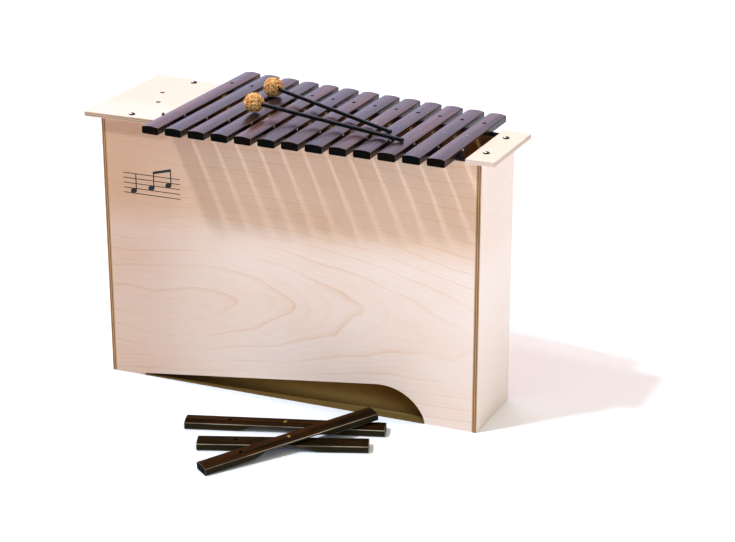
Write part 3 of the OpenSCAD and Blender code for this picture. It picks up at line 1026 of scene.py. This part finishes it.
def make_lights():
    make_sky()
    key = bpy.data.lights.new("key", "SUN")
    key.energy = KEY_ENERGY
    key.angle = KEY_SPREAD
    key.color = KEY_COLOUR
    key_object = bpy.data.objects.new("key", key)
    SCENE.collection.objects.link(key_object)
    aim(key_object, KEY_FROM, (0, 0, 0))

    fill = bpy.data.lights.new("fill", "AREA")
    fill.shape = "SQUARE"
    fill.size = FILL_SIZE
    fill.energy = FILL_ENERGY
    fill.color = FILL_COLOUR
    fill_object = bpy.data.objects.new("fill", fill)
    SCENE.collection.objects.link(fill_object)
    aim(fill_object, FILL_FROM, FILL_TO)
    fill_object.visible_camera = False


def make_camera():
    """A long lens that looks down on the front from its right."""
    data = bpy.data.cameras.new("camera")
    data.sensor_width = 36
    data.lens = CAMERA_LENS
    data.shift_y = CAMERA_SHIFT_Y
    data.clip_end = 100
    camera = bpy.data.objects.new("camera", data)
    SCENE.collection.objects.link(camera)
    back = Vector((
        math.sin(CAMERA_AZIMUTH) * math.cos(CAMERA_ELEVATION),
        -math.cos(CAMERA_AZIMUTH) * math.cos(CAMERA_ELEVATION),
        math.sin(CAMERA_ELEVATION)))
    camera.rotation_mode = "QUATERNION"
    camera.rotation_quaternion = (-back).to_track_quat("-Z", "Y")
    camera.location = CAMERA_PLACE
    SCENE.camera = camera


def set_tones():
    """Plain colour rendering, with the middle tones a little darker."""
    view = SCENE.view_settings
    view.view_transform = "Standard"
    view.look = "None"
    view.gamma = 0.8


# ---------------------------------------------------------------- box


def dress_box():
    _, along, outward = front_face()
    rear_outward = Vector((outward.x, -outward.y, 0))
    rear_along = Vector((along.x, -along.y, 0))
    pink, cream = (0.87, 0.73, 0.64), (0.85, 0.78, 0.67)
    raw = (0.90, 0.66, 0.34)
    # The way out of each sheet, its grain, its face, its inside, how strong its figure and its painted
    # shade are, and how pale its edge is.
    sheets = {
        "front_panel": (outward, along, pink, raw, 1.0),
        "rear_panel": (rear_outward, -rear_along, pink, raw, 1.0),
        "low_end_panel": ((-1, 0, 0), (0, -1, 0), pink, raw, 0.5),
        # The high end panel's face is a paler copy of the pink face: painted light for the lamp on
        # that side.
        "high_end_panel": ((1, 0, 0), (0, 1, 0), (0.98, 0.87, 0.78), raw, 0.3),
        "low_top_plate": ((0, 0, 1), (1, 0, 0), cream, pink, 0.35, 0.25),
        "high_top_plate": ((0, 0, 1), (1, 0, 0), cream, pink, 0.35, 0.55),
        "bottom_board": ((0, 0, 1), (1, 0, 0), raw, raw, 0.8),
        "low_divider": ((1, 0, 0), (0, 0, 1), raw, raw, 0.8),
        "middle_divider": ((1, 0, 0), (0, 0, 1), raw, raw, 0.8),
        "high_divider": ((1, 0, 0), (0, 0, 1), raw, raw, 0.8),
    }
    for node, look in sheets.items():
        dress(node, plywood("ply_" + node, node, *look))
        soften(node, 0.5 * MM)
    # The hardboard's dark front colour and pale deep colour are painted shade and painted light.
    dress("base_board", hardboard("hardboard", outward, (0.24, 0.155, 0.05), (1.0, 0.84, 0.40)))
    strip = softwood("softwood", (0.55, 0.36, 0.18))
    for node in ("bottom_glue_strips", "corner_cleats"):
        dress(node, strip)
    black = blackened_screw("black_screw")
    steel = metal("pin_steel", (0.66, 0.65, 0.62), 0.2, 0.4)
    felt = rubber("rail_foam", (0.012, 0.012, 0.012), 1400, 0.25 * MM, 0.85)
    sleeve = rubber("sleeve_rubber", (0.012, 0.014, 0.013), 600, 0.05 * MM, 0.45)
    for node, material in {
        "top_plate_screws": black, "front_pins": steel, "rear_pins": steel,
        "front_rail_strip": felt, "rear_rail_strip": felt,
        "front_pin_sleeves": sleeve, "rear_pin_sleeves": sleeve,
    }.items():
        dress(node, material)
    for node in ("front_rail_strip", "rear_rail_strip"):
        soften(node, 0.8 * MM)


def dress_mallets():
    cord = wound_cord("wound_cord", (1.0, 0.65, 0.28), (0.72, 0.22, 0.03))
    core = wound_cord("wound_core", (0.16, 0.06, 0.012), (0.05, 0.018, 0.004))
    shaft = lacquered_rod("green_rod", (0.001, 0.004, 0.005))
    for i, mallet in enumerate(MALLETS):
        make_wound_head(mallet + "_winding", mallet + "_head", mallet, cord, core, 5 + i)
        dress(mallet + "_shaft", shaft)


def main():
    make_camera()
    set_tones()
    make_lights()
    make_floor()
    dress_box()
    wood = rosewood(
        "rosewood", dark=(0.013, 0.008, 0.009), red=(0.130, 0.040, 0.029),
        violet=(0.038, 0.025, 0.041), side_shading_colour=(0.004, 0.003, 0.003),
        edge_wear_and_highlight_colour=(0.24, 0.12, 0.11), roughness=0.23, specular=0.8)
    wood_end = end_grain(
        "rosewood_end", (0.0015, 0.003, 0.002), (0.006, 0.009, 0.007), (0.020, 0.010, 0.006))
    tone_bars = make_tone_bars(wood, wood_end)
    low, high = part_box("tone_bar_c1")
    width, height = (high - low).x, (high - low).z
    loose_wood = rosewood(
        "loose_rosewood", dark=(0.006, 0.005, 0.001), red=(0.074, 0.027, 0.005),
        violet=(0.022, 0.015, 0.002), side_shading_colour=(0.042, 0.034, 0.018),
        edge_wear_and_highlight_colour=(0.52, 0.45, 0.35), roughness=0.5, specular=0.05)
    loose_end = end_grain(
        "loose_rosewood_end", (0.004, 0.003, 0.002), (0.016, 0.013, 0.007), (0.020, 0.012, 0.006))
    exchange_bars = make_exchange_bars(loose_wood, loose_end, width, height)
    dress_mallets()
    make_emblem(ink("black_ink", (0.018, 0.02, 0.02)))
    stamp_notes(
        tone_bars, exchange_bars, height,
        ink("pale_stamp", (0.42, 0.40, 0.44)), ink("gold_stamp", (0.62, 0.45, 0.14)))


main()
bpy.context.view_layer.update()
